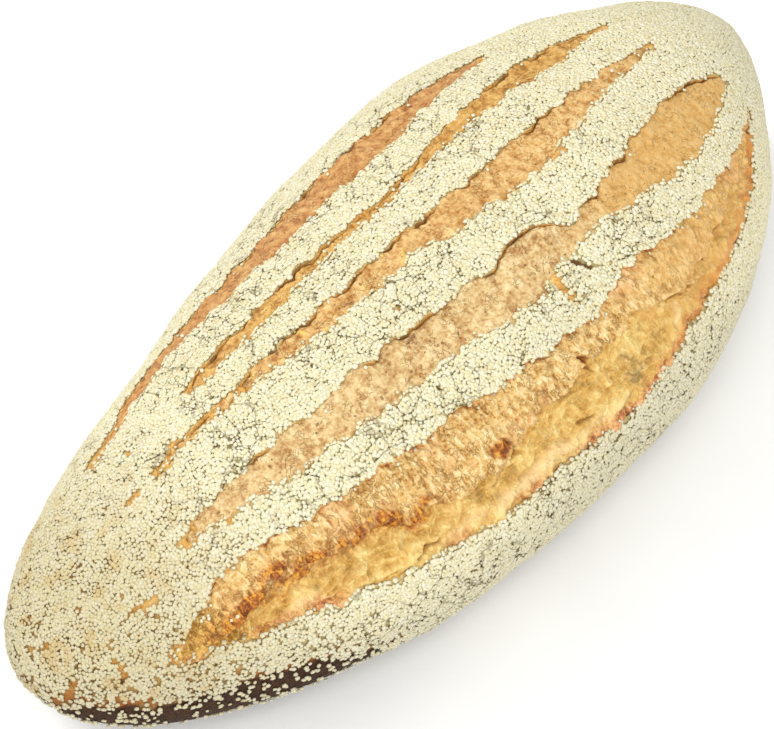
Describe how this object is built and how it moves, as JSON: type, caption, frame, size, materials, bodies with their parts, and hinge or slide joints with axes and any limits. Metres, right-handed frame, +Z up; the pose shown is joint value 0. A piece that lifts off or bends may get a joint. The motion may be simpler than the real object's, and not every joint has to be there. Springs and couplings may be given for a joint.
{
  "type": "sourdough loaf",
  "caption": "Long oval sourdough loaf with lengthwise slashes, a coarse grain coating and a flat baked base.",
  "frame": {"origin": "centre of the loaf's bounding box at the height of its flat base", "axes": "+X along the loaf towards its fuller end, +Y across the loaf towards the side with the narrow slashes, +Z up out of the crust"},
  "size_m": [0.33, 0.1446, 0.0896],
  "materials": {
    "crust": "matt baked bread crust, orange brown under the grain coating and dark brown at the base",
    "crumb": "matt torn and baked crumb, golden orange, rough and fibrous",
    "grains": "matt pale cream grains, slightly toasted"
  },
  "bodies": {
    "root": {"loaf": "crust"}
  },
  "joints": []
}
